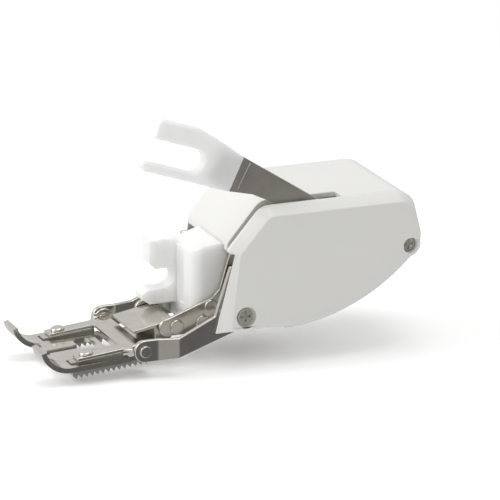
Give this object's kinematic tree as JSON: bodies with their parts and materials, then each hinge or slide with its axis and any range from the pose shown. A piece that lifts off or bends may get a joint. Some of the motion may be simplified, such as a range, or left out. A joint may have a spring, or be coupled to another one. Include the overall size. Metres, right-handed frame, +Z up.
{
  "type": "sewing machine walking presser foot",
  "caption": "Low-shank walking presser foot with a white housing, a needle-bar fork, a nylon bar holder, a slotted sole with curled toes and toothed upper feed dogs.",
  "frame": {"origin": "on the presser-bar axis, at the height of the clamp screw", "axes": "+Z up along the presser bar, +Y to the back of the machine, +X to the operator's right"},
  "size_m": [0.03, 0.0788, 0.0506],
  "materials": {
    "housing_white": "satin moulded white plastic",
    "nylon": "milky natural nylon",
    "nickel": "bright nickel plate",
    "lever_steel": "darker plated steel",
    "dog_steel": "satin plated steel",
    "screw_steel": "zinc plated steel",
    "spring_steel": "bright spring wire"
  },
  "bodies": {
    "foot": {"left_housing_shell": "housing_white", "right_housing_cover": "housing_white", "front_cover_screw": "screw_steel", "rear_cover_screw": "screw_steel", "front_pillar": "screw_steel", "main_frame": "nickel", "presser_bar_holder": "nylon", "lower_holder_rivet": "nickel", "upper_holder_rivet": "nickel", "sole_hinge_pin": "nickel", "lever_pivot_pin": "screw_steel", "lever_spacer": "nylon", "lever_spring": "spring_steel", "walk_spring": "spring_steel"},
    "lever": {"fork_lever": "lever_steel", "fork_tip": "nylon"},
    "slide_blocks": {"left_slide_block": "nylon", "right_slide_block": "nylon"},
    "carrier": {"feed_carrier": "nickel"},
    "dogs": {"dog_frame": "nickel", "left_feed_dog": "dog_steel", "right_feed_dog": "dog_steel", "left_leg_rivet": "nickel", "right_leg_rivet": "nickel", "left_hinge_rivet": "nickel", "right_hinge_rivet": "nickel"},
    "sole": {"sole_plate": "nickel", "sole_bracket": "nickel"}
  },
  "joints": [
    {"name": "fork_swing", "type": "hinge", "parent": "foot", "child": "lever", "pos_m": [0, 0.0325, 0.0105], "axis": [1, 0, 0], "range_deg": [0, 40], "stiffness_Nm_per_rad": 0.01, "springref_deg": -28.65},
    {"name": "carrier_lift", "type": "hinge", "parent": "foot", "child": "slide_blocks", "pos_m": [0, 0.0104, -0.0041], "axis": [1, 0, 0], "range_deg": [-2, 0]},
    {"name": "carrier_walk", "type": "slide", "parent": "slide_blocks", "child": "carrier", "axis": [0, 1, 0], "range_m": [0, 0.0034], "stiffness_N_per_m": 40, "springref_m": -0.006, "deforming": ["walk_spring"]},
    {"name": "sole_rock", "type": "hinge", "parent": "foot", "child": "sole", "pos_m": [0, -0.0012, -0.0069], "axis": [-1, 0, 0], "range_deg": [0, 5]},
    {"name": "dog_rock", "type": "hinge", "parent": "carrier", "child": "dogs", "pos_m": [0, -0.0097, -0.0094], "axis": [-1, 0, 0], "range_deg": [0, 7.5]}
  ],
  "couplings": [
    {"joint": "carrier_lift", "follows": "fork_swing", "ratio": -0.05},
    {"joint": "dog_rock", "follows": "sole_rock", "ratio": 1.5}
  ]
}
